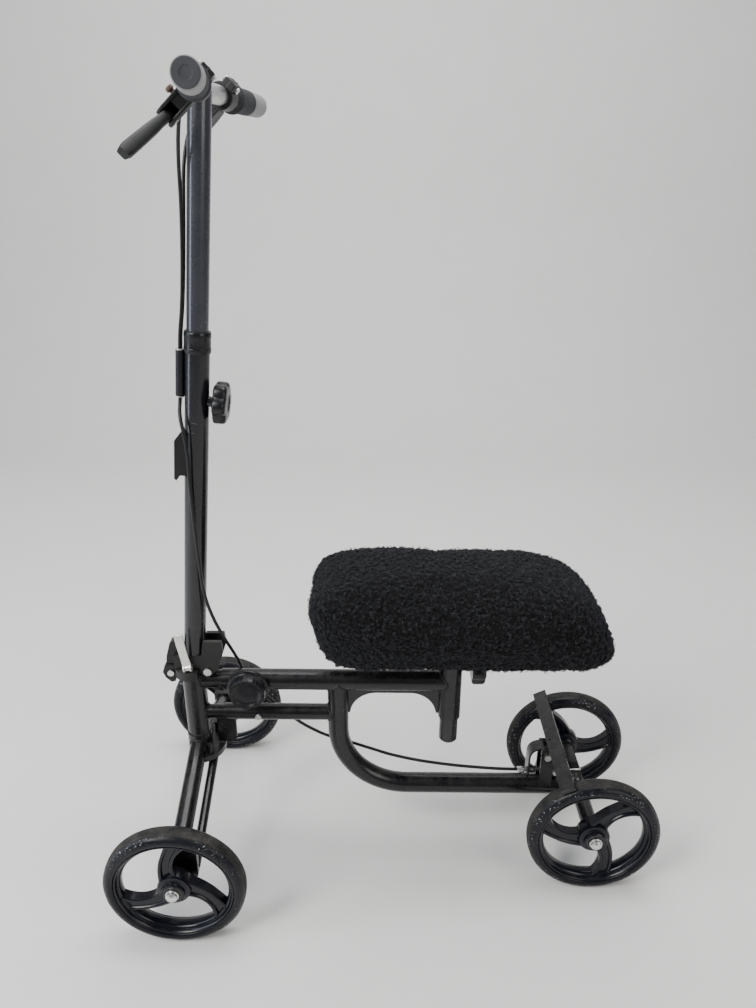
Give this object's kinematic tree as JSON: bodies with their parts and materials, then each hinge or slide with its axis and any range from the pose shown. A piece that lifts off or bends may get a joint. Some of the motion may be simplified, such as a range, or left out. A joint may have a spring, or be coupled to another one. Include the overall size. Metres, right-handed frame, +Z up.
{
  "type": "knee scooter",
  "caption": "Steerable knee scooter with a fleece-covered knee cushion, folding column, swept handlebar with brake levers, wide front axle and narrow braked rear axle.",
  "frame": {"origin": "on the floor, midway between the front and rear axles, on the centre plane", "axes": "+Z up; the scooter faces -X; the rider's left is -Y"},
  "size_m": [0.81, 0.456, 1.1218],
  "materials": {
    "frame_paint": "gloss",
    "bush": "matte",
    "dark_metal": "gloss",
    "cast_black": "satin",
    "knob_plastic": "gloss",
    "button_plastic": "matte",
    "bright_steel": "gloss",
    "spring_steel": "satin",
    "lever_alloy": "satin",
    "post_alloy": "gloss",
    "grip_rubber": "matte",
    "cable_jacket": "satin",
    "cover_fleece": "matte",
    "board_wood": "matte",
    "tyre_rubber": "matte",
    "rim_plastic": "gloss"
  },
  "bodies": {
    "frame": {"head_tube": "frame_paint", "headset_bushes": "bush", "upper_beam": "frame_paint", "lower_rail": "frame_paint", "down_tube": "frame_paint", "gusset_plate": "frame_paint", "seat_socket": "frame_paint", "rear_axle_tube": "frame_paint", "rear_axle_bolts": "bright_steel", "brake_bracket": "frame_paint", "stop_plate": "frame_paint", "frame_bolts": "bright_steel", "cable_adjuster": "bright_steel", "cable_frame": "cable_jacket"},
    "frame_knob": {"frame_knob": "knob_plastic"},
    "seat_knob": {"seat_knob": "knob_plastic"},
    "seat": {"seat_post": "dark_metal", "seat_bracket": "dark_metal", "seat_board": "board_wood", "knee_cushion": "cover_fleece"},
    "brake_arm": {"brake_arm": "frame_paint", "cable_clamp": "bright_steel", "brake_spring": "spring_steel"},
    "steering": {"steerer_tube": "dark_metal", "front_axle": "frame_paint", "axle_braces": "frame_paint", "fold_base": "cast_black", "hinge_pin": "bright_steel", "latch_skewer": "bright_steel", "front_axle_bolts": "bright_steel", "cable_neck": "cable_jacket"},
    "latch_lever": {"latch_lever": "lever_alloy"},
    "column": {"column_tube": "dark_metal", "column_collar": "cast_black", "fold_head": "cast_black", "basket_bracket": "knob_plastic", "cable_column": "cable_jacket", "cable_joiner": "knob_plastic"},
    "column_knob": {"column_knob": "knob_plastic"},
    "handle": {"handle_post": "post_alloy", "handlebar": "post_alloy", "grips": "grip_rubber", "lever_perches": "cast_black", "lever_cables": "cable_jacket"},
    "brake_lever_left": {"brake_lever_left": "cast_black"},
    "park_button_left": {"park_button_left": "button_plastic"},
    "brake_lever_right": {"brake_lever_right": "cast_black"},
    "park_button_right": {"park_button_right": "button_plastic"},
    "front_left_wheel": {"front_left_tyre": "tyre_rubber", "front_left_rim": "rim_plastic", "front_left_bearings": "bright_steel"},
    "front_right_wheel": {"front_right_tyre": "tyre_rubber", "front_right_rim": "rim_plastic", "front_right_bearings": "bright_steel"},
    "rear_left_wheel": {"rear_left_tyre": "tyre_rubber", "rear_left_rim": "rim_plastic", "rear_left_bearings": "bright_steel"},
    "rear_right_wheel": {"rear_right_tyre": "tyre_rubber", "rear_right_rim": "rim_plastic", "rear_right_bearings": "bright_steel"}
  },
  "joints": [
    {"name": "steering", "type": "hinge", "parent": "frame", "child": "steering", "pos_m": [-0.305, 0, 0.26], "axis": [0, 0, 1], "range_deg": [-40, 40], "deforming": ["cable_neck"]},
    {"name": "column_fold", "type": "hinge", "parent": "steering", "child": "column", "pos_m": [-0.279, 0, 0.328], "axis": [0, 1, 0], "range_deg": [0, 40]},
    {"name": "handle_height", "type": "slide", "parent": "column", "child": "handle", "axis": [0.0941, 0, 0.9956], "range_m": [-0.2, 0.04], "deforming": ["lever_cables"]},
    {"name": "seat_height", "type": "slide", "parent": "frame", "child": "seat", "axis": [0, 0, 1], "range_m": [0, 0.09]},
    {"name": "column_knob_turn", "type": "hinge", "parent": "column", "child": "column_knob", "pos_m": [-0.26275, 0, 0.74401], "axis": [0.9956, 0, -0.0941], "range_deg": [0, 360]},
    {"name": "seat_knob_turn", "type": "hinge", "parent": "frame", "child": "seat_knob", "pos_m": [0.089, 0, 0.331], "axis": [1, 0, 0], "range_deg": [0, 360]},
    {"name": "frame_knob_turn", "type": "hinge", "parent": "frame", "child": "frame_knob", "pos_m": [-0.2195, 0, 0.301], "axis": [0, 1, 0], "range_deg": [0, 360]},
    {"name": "latch_open", "type": "hinge", "parent": "steering", "child": "latch_lever", "pos_m": [-0.307, -0.0226, 0.338], "axis": [0.9871, 0, 0.1599], "range_deg": [0, 110]},
    {"name": "brake_lever_left", "type": "hinge", "parent": "handle", "child": "brake_lever_left", "pos_m": [-0.24539, -0.07917, 1.07666], "axis": [-0.6804, -0.1181, 0.7233], "range_deg": [0, 28], "stiffness_Nm_per_rad": 0.6, "springref_deg": -17.19},
    {"name": "park_button_left", "type": "slide", "parent": "handle", "child": "park_button_left", "axis": [0.6804, 0.1181, -0.7233], "range_m": [0, 0.003], "stiffness_N_per_m": 300, "springref_m": -0.002},
    {"name": "brake_lever_right", "type": "hinge", "parent": "handle", "child": "brake_lever_right", "pos_m": [-0.24539, 0.07917, 1.07666], "axis": [0.6804, -0.1181, -0.7233], "range_deg": [0, 28], "stiffness_Nm_per_rad": 0.6, "springref_deg": -17.19},
    {"name": "park_button_right", "type": "slide", "parent": "handle", "child": "park_button_right", "axis": [0.6804, -0.1181, -0.7233], "range_m": [0, 0.003], "stiffness_N_per_m": 300, "springref_m": -0.002},
    {"name": "brake_arm", "type": "hinge", "parent": "frame", "child": "brake_arm", "pos_m": [0.248, 0, 0.168], "axis": [0, 1, 0], "range_deg": [0, 7], "stiffness_Nm_per_rad": 1, "springref_deg": -8.59, "deforming": ["brake_spring"]},
    {"name": "front_left_wheel_spin", "type": "hinge", "parent": "steering", "child": "front_left_wheel", "pos_m": [-0.305, -0.201, 0.1], "axis": [0, 1, 0], "continuous": true},
    {"name": "front_right_wheel_spin", "type": "hinge", "parent": "steering", "child": "front_right_wheel", "pos_m": [-0.305, 0.201, 0.1], "axis": [0, 1, 0], "continuous": true},
    {"name": "rear_left_wheel_spin", "type": "hinge", "parent": "frame", "child": "rear_left_wheel", "pos_m": [0.305, -0.104, 0.1], "axis": [0, 1, 0], "continuous": true},
    {"name": "rear_right_wheel_spin", "type": "hinge", "parent": "frame", "child": "rear_right_wheel", "pos_m": [0.305, 0.104, 0.1], "axis": [0, 1, 0], "continuous": true}
  ],
  "couplings": [
    {"joint": "brake_arm", "follows": "brake_lever_left", "ratio": 0.25}
  ]
}
